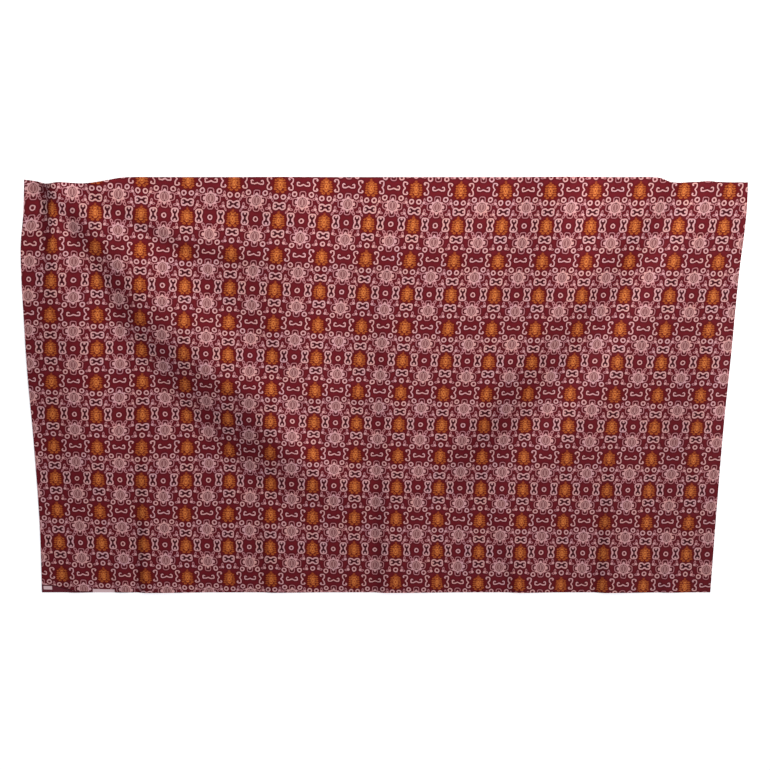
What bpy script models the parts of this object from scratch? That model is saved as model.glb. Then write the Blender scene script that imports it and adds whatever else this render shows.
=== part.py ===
"""A sarong laid out flat: one length of printed cotton cloth in its soft folds.

Metres, +Z up. X runs along the cloth from one cut end to the other and +Y points to the upper
selvedge. The origin is the centre of the cloth's outline, on the surface that the cloth lies on.
The cloth is a single wall that lies flat there and arches clear of the surface under each fold.
"""

from collections import namedtuple

import bmesh
import bpy
import numpy as np

# Driving dimensions
LENGTH = 1.898
WIDTH = 1.136
WALL = 0.0015

# The wall's mesh. The sections along the cloth divide by six, so that one falls on each pressed fold.
# Across the cloth the rows lie wide apart in the flat strip along the lower selvedge.
SECTIONS = 72
FLAT_STRIP = 0.200
ROWS_IN_FLAT_STRIP = 4
ROWS_ABOVE = 35
SAMPLES_PER_FOLD = 240

MAROON = (0.107, 0.012, 0.018, 1.0)
COTTON_ROUGHNESS = 0.85
RIM_ANGLE = np.radians(50.0)

# How far an edge lies inside the plain rectangle. "along" runs up an end from the lower selvedge, and
# along the upper selvedge from the left end. The lower selvedge is straight.
EdgePoint = namedtuple("EdgePoint", "along inset")
LEFT_END = (
    EdgePoint(0.000, 0.000),
    EdgePoint(0.190, 0.010),
    EdgePoint(0.430, 0.014),
    EdgePoint(0.663, 0.013),
    EdgePoint(0.885, 0.019),
    EdgePoint(1.028, 0.037),
    EdgePoint(1.136, 0.048),
)
RIGHT_END = (
    EdgePoint(0.000, 0.002),
    EdgePoint(0.430, 0.007),
    EdgePoint(0.663, 0.005),
    EdgePoint(1.136, 0.000),
)
UPPER_EDGE = (
    EdgePoint(0.000, 0.008),
    EdgePoint(0.110, 0.014),
    EdgePoint(0.232, 0.012),
    EdgePoint(0.325, 0.000),
    EdgePoint(0.950, 0.000),
    EdgePoint(1.640, 0.000),
    EdgePoint(1.708, 0.014),
    EdgePoint(1.770, 0.014),
    EdgePoint(1.801, 0.010),
    EdgePoint(1.834, 0.014),
    EdgePoint(1.898, 0.014),
)

# Each fold is a soft ridge: a row for each section along its crest, from the left end of the cloth to
# the right. "outside" is the width of the flank towards the lower selvedge and the nearer end, and
# "inside" the width of the flank towards the middle of the upper selvedge.
FoldSection = namedtuple("FoldSection", "x y height outside inside")
MAIN_SWAG = (
    FoldSection(-0.845, 0.620, 0.008, 0.045, 0.060),
    FoldSection(-0.789, 0.523, 0.012, 0.060, 0.075),
    FoldSection(-0.662, 0.353, 0.014, 0.090, 0.130),
    FoldSection(-0.585, 0.230, 0.019, 0.120, 0.160),
    FoldSection(-0.465, 0.104, 0.024, 0.155, 0.170),
    FoldSection(-0.358, -0.025, 0.024, 0.155, 0.150),
    FoldSection(-0.270, -0.140, 0.020, 0.145, 0.120),
    FoldSection(-0.190, -0.215, 0.012, 0.120, 0.095),
    FoldSection(-0.060, -0.265, 0.005, 0.070, 0.070),
    FoldSection(0.080, -0.265, 0.004, 0.060, 0.075),
    FoldSection(0.203, -0.236, 0.007, 0.075, 0.095),
    FoldSection(0.300, -0.178, 0.017, 0.110, 0.120),
    FoldSection(0.380, -0.104, 0.026, 0.125, 0.135),
    FoldSection(0.460, 0.000, 0.028, 0.125, 0.145),
    FoldSection(0.548, 0.119, 0.025, 0.120, 0.135),
    FoldSection(0.640, 0.261, 0.019, 0.105, 0.105),
    FoldSection(0.705, 0.375, 0.015, 0.090, 0.085),
    FoldSection(0.768, 0.486, 0.011, 0.070, 0.065),
    FoldSection(0.820, 0.620, 0.008, 0.060, 0.055),
)
UPPER_SWAG = (
    FoldSection(-0.760, 0.620, 0.006, 0.045, 0.070),
    FoldSection(-0.695, 0.525, 0.007, 0.045, 0.075),
    FoldSection(-0.600, 0.470, 0.008, 0.045, 0.080),
    FoldSection(-0.500, 0.420, 0.008, 0.050, 0.085),
    FoldSection(-0.390, 0.390, 0.008, 0.050, 0.085),
    FoldSection(-0.240, 0.365, 0.005, 0.050, 0.085),
    FoldSection(0.020, 0.357, 0.004, 0.050, 0.085),
    FoldSection(0.180, 0.372, 0.005, 0.050, 0.085),
    FoldSection(0.300, 0.395, 0.006, 0.055, 0.080),
    FoldSection(0.420, 0.452, 0.007, 0.055, 0.075),
    FoldSection(0.510, 0.520, 0.006, 0.050, 0.070),
    FoldSection(0.580, 0.620, 0.005, 0.045, 0.060),
)
MIDDLE_SWAG = (
    FoldSection(-0.470, 0.085, 0.001, 0.040, 0.055),
    FoldSection(-0.400, 0.035, 0.004, 0.040, 0.060),
    FoldSection(-0.300, 0.004, 0.005, 0.040, 0.065),
    FoldSection(-0.168, 0.004, 0.005, 0.040, 0.065),
    FoldSection(-0.040, 0.000, 0.004, 0.040, 0.060),
    FoldSection(0.040, -0.030, 0.001, 0.040, 0.055),
)
# The drapes are broad ridges that run down the cloth: here "inside" is the flank on the right.
LEFT_DRAPE = (
    FoldSection(-0.225, 0.600, 0.005, 0.130, 0.120),
    FoldSection(-0.235, 0.420, 0.008, 0.180, 0.160),
    FoldSection(-0.240, 0.300, 0.008, 0.200, 0.170),
    FoldSection(-0.245, 0.160, 0.012, 0.200, 0.200),
    FoldSection(-0.240, 0.050, 0.018, 0.180, 0.200),
    FoldSection(-0.225, -0.060, 0.017, 0.160, 0.190),
    FoldSection(-0.175, -0.160, 0.009, 0.120, 0.160),
    FoldSection(-0.140, -0.240, 0.001, 0.080, 0.100),
)
RIGHT_DRAPE = (
    FoldSection(0.480, 0.600, 0.010, 0.120, 0.110),
    FoldSection(0.475, 0.480, 0.012, 0.140, 0.130),
    FoldSection(0.465, 0.360, 0.011, 0.150, 0.130),
    FoldSection(0.430, 0.240, 0.005, 0.140, 0.120),
    FoldSection(0.400, 0.140, 0.001, 0.110, 0.100),
)
LEFT_END_DRAPE = (
    FoldSection(-0.815, 0.420, 0.001, 0.090, 0.080),
    FoldSection(-0.812, 0.300, 0.005, 0.120, 0.110),
    FoldSection(-0.805, 0.150, 0.008, 0.150, 0.140),
    FoldSection(-0.800, 0.000, 0.007, 0.160, 0.140),
    FoldSection(-0.785, -0.140, 0.005, 0.140, 0.130),
    FoldSection(-0.770, -0.300, 0.001, 0.110, 0.110),
)
RIGHT_END_DRAPE = (
    FoldSection(0.890, 0.260, 0.001, 0.090, 0.060),
    FoldSection(0.880, 0.100, 0.005, 0.120, 0.080),
    FoldSection(0.875, -0.060, 0.006, 0.130, 0.080),
    FoldSection(0.860, -0.220, 0.003, 0.120, 0.080),
    FoldSection(0.850, -0.340, 0.001, 0.090, 0.060),
)
CORNER_PLEAT = (
    FoldSection(-0.842, 0.620, 0.011, 0.034, 0.034),
    FoldSection(-0.846, 0.480, 0.008, 0.036, 0.036),
    FoldSection(-0.852, 0.340, 0.004, 0.038, 0.038),
    FoldSection(-0.860, 0.230, 0.001, 0.040, 0.040),
)
FOLDS = (
    MAIN_SWAG,
    UPPER_SWAG,
    MIDDLE_SWAG,
    LEFT_DRAPE,
    RIGHT_DRAPE,
    LEFT_END_DRAPE,
    RIGHT_END_DRAPE,
    CORNER_PLEAT,
)

# The cloth was stored folded in six along its length, and each pressed fold still stands a little proud.
# "low" and "high" are the ends of the raised stretch, up from the lower selvedge.
PressedFold = namedtuple("PressedFold", "sixth low high height")
PRESSED_FOLDS = (
    PressedFold(1, -0.10, 0.72, 0.0035),
    PressedFold(2, 0.12, 0.36, 0.0020),
    PressedFold(3, -0.10, 0.86, 0.0030),
    PressedFold(4, 0.14, 0.42, 0.0030),
    PressedFold(5, -0.10, 0.98, 0.0035),
)
PRESSED_FADE = 0.10


def clear_scene():
    """Remove every object, so that the scene holds only this model."""
    for old in list(bpy.data.objects):
        bpy.data.objects.remove(old, do_unlink=True)


def smooth_through(stations, values, at):
    """Read a smooth curve through the values given at rising stations."""
    slopes = np.gradient(values, stations, axis=0)
    last = len(stations) - 2
    left = np.clip(np.searchsorted(stations, at, side="right") - 1, 0, last)
    span = stations[left + 1] - stations[left]
    t = np.clip((at - stations[left]) / span, 0.0, 1.0)
    if values.ndim == 2:
        span = span[:, None]
        t = t[:, None]
    rise = t * t * (3.0 - 2.0 * t)
    leave = t * (1.0 - t) ** 2
    arrive = t * t * (t - 1.0)
    return (
        values[left] * (1.0 - rise)
        + values[left + 1] * rise
        + span * (slopes[left] * leave + slopes[left + 1] * arrive)
    )


def edge_inset(edge, along):
    """How far this edge lies inside the plain rectangle."""
    table = np.array(edge)
    return np.maximum(smooth_through(table[:, 0], table[:, 1], along), 0.0)


def rows_across():
    """Where the mesh's rows lie across the cloth, as shares of its width."""
    strip = FLAT_STRIP / WIDTH
    in_strip = np.linspace(0.0, strip, ROWS_IN_FLAT_STRIP, endpoint=False)
    return np.concatenate((in_strip, np.linspace(strip, 1.0, ROWS_ABOVE + 1)))


def plan_grid():
    """The cloth's points in plan: an array row for each mesh row, and a column for each section."""
    share_along = np.linspace(0.0, 1.0, SECTIONS + 1)
    share_across = rows_across()
    left = edge_inset(LEFT_END, share_across * WIDTH)
    right = LENGTH - edge_inset(RIGHT_END, share_across * WIDTH)
    x = left[:, None] + share_along[None, :] * (right - left)[:, None]
    top = WIDTH - edge_inset(UPPER_EDGE, x.ravel()).reshape(x.shape)
    y = share_across[:, None] * top
    return x - LENGTH / 2, y - WIDTH / 2


def fold_samples(fold):
    """Close samples along a fold's crest, as a section whose every column is an array."""
    table = np.array(fold)
    rows = FoldSection(*table.T)
    steps = np.hypot(np.diff(rows.x), np.diff(rows.y))
    stations = np.concatenate(([0.0], np.cumsum(steps)))
    at = np.linspace(0.0, stations[-1], SAMPLES_PER_FOLD)
    return FoldSection(*smooth_through(stations, table, at).T)


def fold_height(fold, x, y):
    """The height of one fold at each point, zero beyond its flanks."""
    crest = fold_samples(fold)
    nearest = np.argmin(np.hypot(x[..., None] - crest.x, y[..., None] - crest.y), axis=-1)
    away_x = x - crest.x[nearest]
    away_y = y - crest.y[nearest]
    heading_x = np.gradient(crest.x)[nearest]
    heading_y = np.gradient(crest.y)[nearest]
    on_inside = heading_x * away_y - heading_y * away_x > 0.0
    flank = np.where(on_inside, crest.inside[nearest], crest.outside[nearest])
    share = np.minimum(np.hypot(away_x, away_y) / flank, 1.0)
    return crest.height[nearest] * (0.5 + 0.5 * np.cos(np.pi * share))


def pressed_height(fold, y):
    """The height of one pressed fold over the whole grid. Its ridge is highest on its own section."""
    height = np.zeros_like(y)
    section = fold.sixth * SECTIONS // 6
    up = y[:, section] + WIDTH / 2
    fade_in = np.clip((up - fold.low) / PRESSED_FADE, 0.0, 1.0)
    fade_out = np.clip((fold.high - up) / PRESSED_FADE, 0.0, 1.0)
    height[:, section] = fold.height * np.minimum(fade_in, fade_out)
    return height


def cloth_points():
    """The wall's lower points, and its upper points a wall's thickness above them."""
    x, y = plan_grid()
    underside = sum(fold_height(fold, x, y) for fold in FOLDS)
    underside += sum(pressed_height(fold, y) for fold in PRESSED_FOLDS)
    lower = np.stack([x, y, underside], axis=-1)
    upper = np.stack([x, y, underside + WALL], axis=-1)
    return lower, upper


def rim_cells(rows, columns):
    """The grid cells round the outline, anticlockwise seen from above."""
    lower_edge = [(0, column) for column in range(columns - 1)]
    right_end = [(row, columns - 1) for row in range(rows - 1)]
    upper_edge = [(rows - 1, column) for column in range(columns - 1, 0, -1)]
    left_end = [(row, 0) for row in range(rows - 1, 0, -1)]
    return lower_edge + right_end + upper_edge + left_end


def build_wall(lower, upper):
    """A closed wall between the lower and the upper points."""
    wall = bmesh.new()
    rows, columns = lower.shape[:2]
    bottom = [[wall.verts.new(lower[row, column]) for column in range(columns)] for row in range(rows)]
    top = [[wall.verts.new(upper[row, column]) for column in range(columns)] for row in range(rows)]
    for row in range(rows - 1):
        for column in range(columns - 1):
            corners = ((row, column), (row, column + 1), (row + 1, column + 1), (row + 1, column))
            wall.faces.new([top[r][c] for r, c in corners])
            wall.faces.new([bottom[r][c] for r, c in reversed(corners)])
    rim = rim_cells(rows, columns)
    for (row, column), (next_row, next_column) in zip(rim, rim[1:] + rim[:1]):
        below = [bottom[row][column], bottom[next_row][next_column]]
        above = [top[next_row][next_column], top[row][column]]
        wall.faces.new(below + above)
    return wall


def cotton_material():
    """Matt maroon cotton, the ground colour of the print."""
    material = bpy.data.materials.new("printed_cotton")
    material.use_nodes = True
    shader = material.node_tree.nodes["Principled BSDF"]
    shader.inputs["Base Color"].default_value = MAROON
    shader.inputs["Roughness"].default_value = COTTON_ROUGHNESS
    shader.inputs["Metallic"].default_value = 0.0
    return material


def make_cloth():
    """The whole garment: a single length of cloth, with nothing sewn to it."""
    wall = build_wall(*cloth_points())
    mesh = bpy.data.meshes.new("sarong_cloth")
    wall.to_mesh(mesh)
    wall.free()
    mesh.shade_smooth()
    mesh.set_sharp_from_angle(angle=RIM_ANGLE)
    mesh.materials.append(cotton_material())
    cloth = bpy.data.objects.new("sarong_cloth", mesh)
    bpy.context.scene.collection.objects.link(cloth)
    return cloth


clear_scene()
make_cloth()
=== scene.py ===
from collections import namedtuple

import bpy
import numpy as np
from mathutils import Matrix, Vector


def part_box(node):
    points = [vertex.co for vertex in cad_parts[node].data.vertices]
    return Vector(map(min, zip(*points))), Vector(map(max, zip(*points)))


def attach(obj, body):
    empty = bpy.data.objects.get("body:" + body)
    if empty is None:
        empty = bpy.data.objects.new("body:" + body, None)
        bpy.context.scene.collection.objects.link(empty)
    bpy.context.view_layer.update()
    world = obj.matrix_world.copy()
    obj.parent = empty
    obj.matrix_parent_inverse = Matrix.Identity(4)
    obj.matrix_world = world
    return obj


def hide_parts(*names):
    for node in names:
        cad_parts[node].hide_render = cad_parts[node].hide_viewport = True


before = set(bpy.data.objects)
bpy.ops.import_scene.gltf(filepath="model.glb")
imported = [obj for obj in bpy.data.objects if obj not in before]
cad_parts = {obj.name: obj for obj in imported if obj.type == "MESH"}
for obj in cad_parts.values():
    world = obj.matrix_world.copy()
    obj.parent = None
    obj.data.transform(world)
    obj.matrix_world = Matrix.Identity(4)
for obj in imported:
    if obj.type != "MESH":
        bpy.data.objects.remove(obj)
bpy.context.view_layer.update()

# The look of a sarong laid out flat: printed cotton in soft folds, on a plain pale floor. Metres in the
# model's own frame: X runs along the cloth, +Y points to its upper selvedge and the floor is at z = 0.
# The print is drawn by shader nodes from a chart of one repeat, in millimetres.

CLOTH_LOW, CLOTH_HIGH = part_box("sarong_cloth")
LENGTH = CLOTH_HIGH[0] - CLOTH_LOW[0]
WIDTH = CLOTH_HIGH[1] - CLOTH_LOW[1]

# The cloth's mesh: cells about 7 mm square on each side of a thin shell.
CELLS_ALONG = 270
CELLS_ACROSS = 162
SHARP_ANGLE = 50.0
CLOTH_THICKNESS = 0.0006
SAMPLES_PER_FOLD = 240

# How far an edge lies inside the plain rectangle. "along" runs up an end from the lower selvedge, and
# along the upper selvedge from the left end.
EdgePoint = namedtuple("EdgePoint", "along inset")
LEFT_END = (
    EdgePoint(0.000, 0.000),
    EdgePoint(0.190, 0.010),
    EdgePoint(0.430, 0.014),
    EdgePoint(0.663, 0.014),
    EdgePoint(0.783, 0.017),
    EdgePoint(0.885, 0.020),
    EdgePoint(0.978, 0.027),
    EdgePoint(1.040, 0.038),
    EdgePoint(1.104, 0.046),
    EdgePoint(1.136, 0.049),
)
RIGHT_END = (
    EdgePoint(0.000, 0.002),
    EdgePoint(0.270, 0.004),
    EdgePoint(0.498, 0.004),
    EdgePoint(0.716, 0.000),
    EdgePoint(0.822, -0.001),
    EdgePoint(0.926, -0.003),
    EdgePoint(1.003, -0.007),
    EdgePoint(1.079, -0.008),
    EdgePoint(1.136, -0.005),
)
UPPER_EDGE = (
    EdgePoint(0.000, 0.002),
    EdgePoint(0.048, 0.006),
    EdgePoint(0.078, 0.010),
    EdgePoint(0.108, 0.017),
    EdgePoint(0.122, 0.017),
    EdgePoint(0.139, 0.014),
    EdgePoint(0.172, 0.015),
    EdgePoint(0.203, 0.016),
    EdgePoint(0.226, 0.014),
    EdgePoint(0.262, 0.008),
    EdgePoint(0.300, 0.001),
    EdgePoint(0.325, 0.000),
    EdgePoint(0.400, 0.000),
    EdgePoint(1.600, 0.000),
    EdgePoint(1.655, 0.000),
    EdgePoint(1.679, 0.002),
    EdgePoint(1.704, 0.012),
    EdgePoint(1.756, 0.013),
    EdgePoint(1.807, 0.010),
    EdgePoint(1.833, 0.012),
    EdgePoint(1.898, 0.013),
)
# How far the straight lower selvedge lies above the rectangle's lower line.
LOWER_EDGE = -0.004

# Each fold is a soft ridge: a row for each section along its crest, from the left end of the cloth to
# the right. "outside" is the width of the flank towards the lower selvedge and the nearer end, and
# "inside" the width of the flank towards the middle of the upper selvedge.
FoldSection = namedtuple("FoldSection", "x y height outside inside")
MAIN_SWAG = (
    FoldSection(-0.845, 0.620, 0.008, 0.045, 0.060),
    FoldSection(-0.789, 0.523, 0.012, 0.060, 0.075),
    FoldSection(-0.662, 0.353, 0.014, 0.090, 0.130),
    FoldSection(-0.585, 0.230, 0.019, 0.120, 0.160),
    FoldSection(-0.465, 0.104, 0.024, 0.155, 0.170),
    FoldSection(-0.358, -0.025, 0.024, 0.155, 0.150),
    FoldSection(-0.270, -0.140, 0.020, 0.145, 0.120),
    FoldSection(-0.190, -0.215, 0.012, 0.120, 0.095),
    FoldSection(-0.060, -0.265, 0.005, 0.070, 0.070),
    FoldSection(0.080, -0.265, 0.004, 0.060, 0.075),
    FoldSection(0.203, -0.236, 0.007, 0.075, 0.095),
    FoldSection(0.300, -0.178, 0.017, 0.110, 0.120),
    FoldSection(0.380, -0.104, 0.026, 0.125, 0.135),
    FoldSection(0.460, 0.000, 0.028, 0.125, 0.145),
    FoldSection(0.548, 0.119, 0.025, 0.120, 0.135),
    FoldSection(0.640, 0.261, 0.019, 0.105, 0.105),
    FoldSection(0.705, 0.375, 0.015, 0.090, 0.085),
    FoldSection(0.768, 0.486, 0.011, 0.070, 0.065),
    FoldSection(0.820, 0.620, 0.008, 0.060, 0.055),
)
UPPER_SWAG = (
    FoldSection(-0.760, 0.620, 0.006, 0.045, 0.070),
    FoldSection(-0.695, 0.525, 0.007, 0.045, 0.075),
    FoldSection(-0.600, 0.470, 0.008, 0.045, 0.080),
    FoldSection(-0.500, 0.420, 0.008, 0.050, 0.085),
    FoldSection(-0.390, 0.390, 0.008, 0.050, 0.085),
    FoldSection(-0.240, 0.365, 0.005, 0.050, 0.085),
    FoldSection(0.020, 0.357, 0.004, 0.050, 0.085),
    FoldSection(0.180, 0.372, 0.005, 0.050, 0.085),
    FoldSection(0.300, 0.395, 0.006, 0.055, 0.080),
    FoldSection(0.420, 0.452, 0.007, 0.055, 0.075),
    FoldSection(0.510, 0.520, 0.006, 0.050, 0.070),
    FoldSection(0.580, 0.620, 0.005, 0.045, 0.060),
)
MIDDLE_SWAG = (
    FoldSection(-0.470, 0.085, 0.001, 0.040, 0.055),
    FoldSection(-0.400, 0.035, 0.004, 0.040, 0.060),
    FoldSection(-0.300, 0.004, 0.005, 0.040, 0.065),
    FoldSection(-0.168, 0.004, 0.005, 0.040, 0.065),
    FoldSection(-0.040, 0.000, 0.004, 0.040, 0.060),
    FoldSection(0.040, -0.030, 0.001, 0.040, 0.055),
)
# The drapes are broad ridges that run down the cloth: here "inside" is the flank on the right.
LEFT_DRAPE = (
    FoldSection(-0.225, 0.600, 0.005, 0.130, 0.120),
    FoldSection(-0.235, 0.420, 0.008, 0.180, 0.160),
    FoldSection(-0.240, 0.300, 0.008, 0.200, 0.170),
    FoldSection(-0.245, 0.160, 0.012, 0.200, 0.200),
    FoldSection(-0.240, 0.050, 0.018, 0.180, 0.200),
    FoldSection(-0.225, -0.060, 0.017, 0.160, 0.190),
    FoldSection(-0.175, -0.160, 0.009, 0.120, 0.160),
    FoldSection(-0.140, -0.240, 0.001, 0.080, 0.100),
)
RIGHT_DRAPE = (
    FoldSection(0.480, 0.600, 0.010, 0.120, 0.110),
    FoldSection(0.475, 0.480, 0.012, 0.140, 0.130),
    FoldSection(0.465, 0.360, 0.011, 0.150, 0.130),
    FoldSection(0.430, 0.240, 0.005, 0.140, 0.120),
    FoldSection(0.400, 0.140, 0.001, 0.110, 0.100),
)
LEFT_END_DRAPE = (
    FoldSection(-0.815, 0.420, 0.001, 0.090, 0.080),
    FoldSection(-0.812, 0.300, 0.005, 0.120, 0.110),
    FoldSection(-0.805, 0.150, 0.008, 0.150, 0.140),
    FoldSection(-0.800, 0.000, 0.007, 0.160, 0.140),
    FoldSection(-0.785, -0.140, 0.005, 0.140, 0.130),
    FoldSection(-0.770, -0.300, 0.001, 0.110, 0.110),
)
RIGHT_END_DRAPE = (
    FoldSection(0.890, 0.260, 0.001, 0.090, 0.060),
    FoldSection(0.880, 0.100, 0.005, 0.120, 0.080),
    FoldSection(0.875, -0.060, 0.006, 0.130, 0.080),
    FoldSection(0.860, -0.220, 0.003, 0.120, 0.080),
    FoldSection(0.850, -0.340, 0.001, 0.090, 0.060),
)
CORNER_PLEAT = (
    FoldSection(-0.826, 0.620, 0.011, 0.034, 0.050),
    FoldSection(-0.830, 0.480, 0.009, 0.034, 0.050),
    FoldSection(-0.838, 0.360, 0.004, 0.036, 0.050),
    FoldSection(-0.846, 0.250, 0.001, 0.038, 0.045),
)
# The pressed folds stand up sharply on the left and fall away slowly on the right.
PRESSED_FIRST = (
    FoldSection(-0.652, -0.600, 0.0050, 0.190, 0.034),
    FoldSection(-0.642, -0.400, 0.0044, 0.200, 0.034),
    FoldSection(-0.634, -0.220, 0.0020, 0.180, 0.032),
    FoldSection(-0.630, -0.020, 0.0003, 0.120, 0.030),
)
PRESSED_SECOND = (
    FoldSection(-0.290, -0.600, 0.0030, 0.150, 0.034),
    FoldSection(-0.300, -0.440, 0.0024, 0.160, 0.034),
    FoldSection(-0.310, -0.320, 0.0014, 0.130, 0.030),
    FoldSection(-0.318, -0.230, 0.0002, 0.100, 0.026),
)
PRESSED_THIRD = (
    FoldSection(0.026, -0.600, 0.0044, 0.240, 0.036),
    FoldSection(0.028, -0.350, 0.0044, 0.240, 0.036),
    FoldSection(0.028, -0.120, 0.0024, 0.160, 0.032),
    FoldSection(0.026, 0.120, 0.0024, 0.140, 0.032),
    FoldSection(0.014, 0.320, 0.0003, 0.100, 0.026),
)
PRESSED_FOURTH = (
    FoldSection(0.410, -0.600, 0.0042, 0.120, 0.040),
    FoldSection(0.385, -0.480, 0.0030, 0.120, 0.036),
    FoldSection(0.340, -0.370, 0.0014, 0.110, 0.030),
    FoldSection(0.317, -0.270, 0.0003, 0.090, 0.026),
)
PRESSED_FIFTH = (
    FoldSection(0.650, -0.600, 0.0048, 0.180, 0.036),
    FoldSection(0.652, -0.400, 0.0046, 0.200, 0.036),
    FoldSection(0.656, -0.260, 0.0024, 0.170, 0.034),
    FoldSection(0.660, -0.140, 0.0003, 0.120, 0.030),
)
HEM_CREASES = (
    (
        FoldSection(-0.855, -0.600, 0.0026, 0.060, 0.026),
        FoldSection(-0.862, -0.520, 0.0016, 0.060, 0.026),
        FoldSection(-0.870, -0.440, 0.0002, 0.050, 0.024),
    ),
    (
        FoldSection(-0.722, -0.600, 0.0026, 0.050, 0.026),
        FoldSection(-0.728, -0.530, 0.0012, 0.050, 0.024),
        FoldSection(-0.736, -0.470, 0.0002, 0.040, 0.022),
    ),
    (
        FoldSection(0.830, -0.600, 0.0028, 0.070, 0.030),
        FoldSection(0.812, -0.500, 0.0016, 0.070, 0.028),
        FoldSection(0.795, -0.400, 0.0002, 0.060, 0.026),
    ),
)
FOLDS = (
    MAIN_SWAG,
    UPPER_SWAG,
    MIDDLE_SWAG,
    LEFT_DRAPE,
    RIGHT_DRAPE,
    LEFT_END_DRAPE,
    RIGHT_END_DRAPE,
    CORNER_PLEAT,
    PRESSED_FIRST,
    PRESSED_SECOND,
    PRESSED_THIRD,
    PRESSED_FOURTH,
    PRESSED_FIFTH,
    *HEM_CREASES,
)

# How the print lies on the cloth. Column 0 is the first column of trees at the left and column 15 the
# last. Rows are counted down from the upper selvedge, and sag from the left end to column 9. The columns
# lean, and stand a little closer together beyond the bend at column 6.
MIDDLE_COLUMN = 9.0
BEND_COLUMN = 6.0
LAST_COLUMN = 15.0
TOP_ROW = -1.0
BOTTOM_ROW = 11.0
FIRST_COLUMN_FOOT = -0.888
FIRST_COLUMN_LEAN = 0.054
LEAN_POWER = 1.8
COLUMN_STEP = 0.118
TOP_COLUMN_STEP_BEYOND = 0.115
BOTTOM_COLUMN_STEP_BEYOND = 0.117
ROW_ZERO_HEIGHT = 0.443
ROW_STEP = 0.0896
ROW_SWELL = 0.010
TOP_SAG = 0.043
BOTTOM_SAG = 0.024
SAG_POWER = 1.25
RIGHT_DROP = 0.012
RIGHT_DROP_POWER = 0.7
PLACING_PASSES = 4

# The main swag draws the cloth towards its middle, by this share of its height at each place along it.
# "centre" is where the pull is most, out from the crest in widths of the outer flank.
SwagPull = namedtuple("SwagPull", "x share centre")
SWAG_PULLS = (
    SwagPull(-0.300, 0.54, 1.15),
    SwagPull(-0.100, 0.00, 1.15),
    SwagPull(0.200, 0.00, 0.20),
    SwagPull(0.400, 0.24, 0.20),
)
PULL_REACH = 1.15
# The corner pleat hides a little cloth under its outer flank.
PLEAT_LINE = -0.836
PLEAT_SOFTNESS = 0.024
PleatDepth = namedtuple("PleatDepth", "y hidden")
PLEAT_DEPTHS = (
    PleatDepth(0.220, 0.000),
    PleatDepth(0.300, 0.004),
    PleatDepth(0.400, 0.009),
    PleatDepth(0.500, 0.014),
)

# One repeat of the print: two rows of trees high, mirrored about each column and about each row of
# brackets. Chart coordinates are millimetres across from a column of trees and up from the brackets.
REPEAT_ACROSS = 117.0
REPEAT_UP = 178.7
TREES_BELOW_BRACKETS = 3.8

# Sizes in the chart that several motifs share.
UPRIGHT_MIDDLE = (30.9, 89.4)
SIDEWAYS_MIDDLE = (0.0, 54.5)
HOURGLASS_CORNER = 6.4
HOURGLASS_BLEND = 3.0
HOURGLASS_ARM = 1.9
MEDALLION = (58.5, 44.6)
RIM_POINTS = 8.0
RIM_SIDE_REACH = 20.2
RIM_SIDE_LEAN = 0.49
RIM_SIDE_SHARE = 0.9
RIM_HALF_HEIGHT = 12.8
RIM_END_REACH = 21.0
RIM_END_LEAN = 1.2
RIM_END_SHARE = 0.64
RIM_CUT_DEPTH = 3.4
RIM_CUT_WIDTH = 0.5
RIM_UNCUT_REACH = 14.8
RING_OUTER = 6.9
RING_HOLE = 3.5
CURL_LINE = 3.1
LEAF_LINE = 1.7
TREE_LINE = 1.7
HEART_LINE = 2.2
PETAL_LINE = 2.2
SIDEWAYS_NUDGE = 1.5
SPRIG_SWELL = 0.4
NO_TAIL_DISTANCE = 30.0

# How softly each edge of the print fades, in millimetres, and how far from the motifs the ground lightens.
INK_SOFTNESS = 0.7
SOFT_INK_SOFTNESS = 1.0
VEIN_SOFTNESS = 1.2
FILL_SOFTNESS = 1.6
TOP_LEAF_SOFTNESS = 2.4
LEAF_SOFTNESS = 2.6
GROUND_SOFTNESS = 6.0
OPEN_GROUND_FROM = 2.6
HALO_REACH = 3.5
LEAF_SHARE_REACH = 0.4

# How strongly some layers of colour cover what lies under them.
DYE_COVER = 0.4
SPRIG_COVER = 0.6
FLOWER_VEIN_COVER = 0.8
TOP_LEAF_COVER = 0.8
LEAF_VEIN_COVER = 0.55
WEAR_COVER = 0.12
UNDERSIDE_COVER = 0.35

# Soft random patterns: the width of their patches in millimetres, their detail and their seed.
Pattern = namedtuple("Pattern", "size detail seed")
WOBBLE = Pattern(14.0, 1.0, 3.0)
FRAYS = Pattern(3.0, 2.0, 8.0)
DYE = Pattern(22.0, 3.0, 1.0)
INK = Pattern(48.0, 2.0, 2.0)
WEAR = Pattern(5.0, 3.0, 4.0)
LENGTH_YARNS = Pattern(0.9, 2.0, 5.0)
CROSS_YARNS = Pattern(0.9, 2.0, 6.0)
DRIFT_REACH = 3.6
FRAY_REACH = 6.8
FRAY_INSET = 2.9
SPREAD_GAIN = 2.4
SPREAD_OFFSET = 0.7
YARN_STRETCH = 0.12
WEAVE_STRENGTH = 0.35
WEAVE_DEPTH = 0.0003

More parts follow.
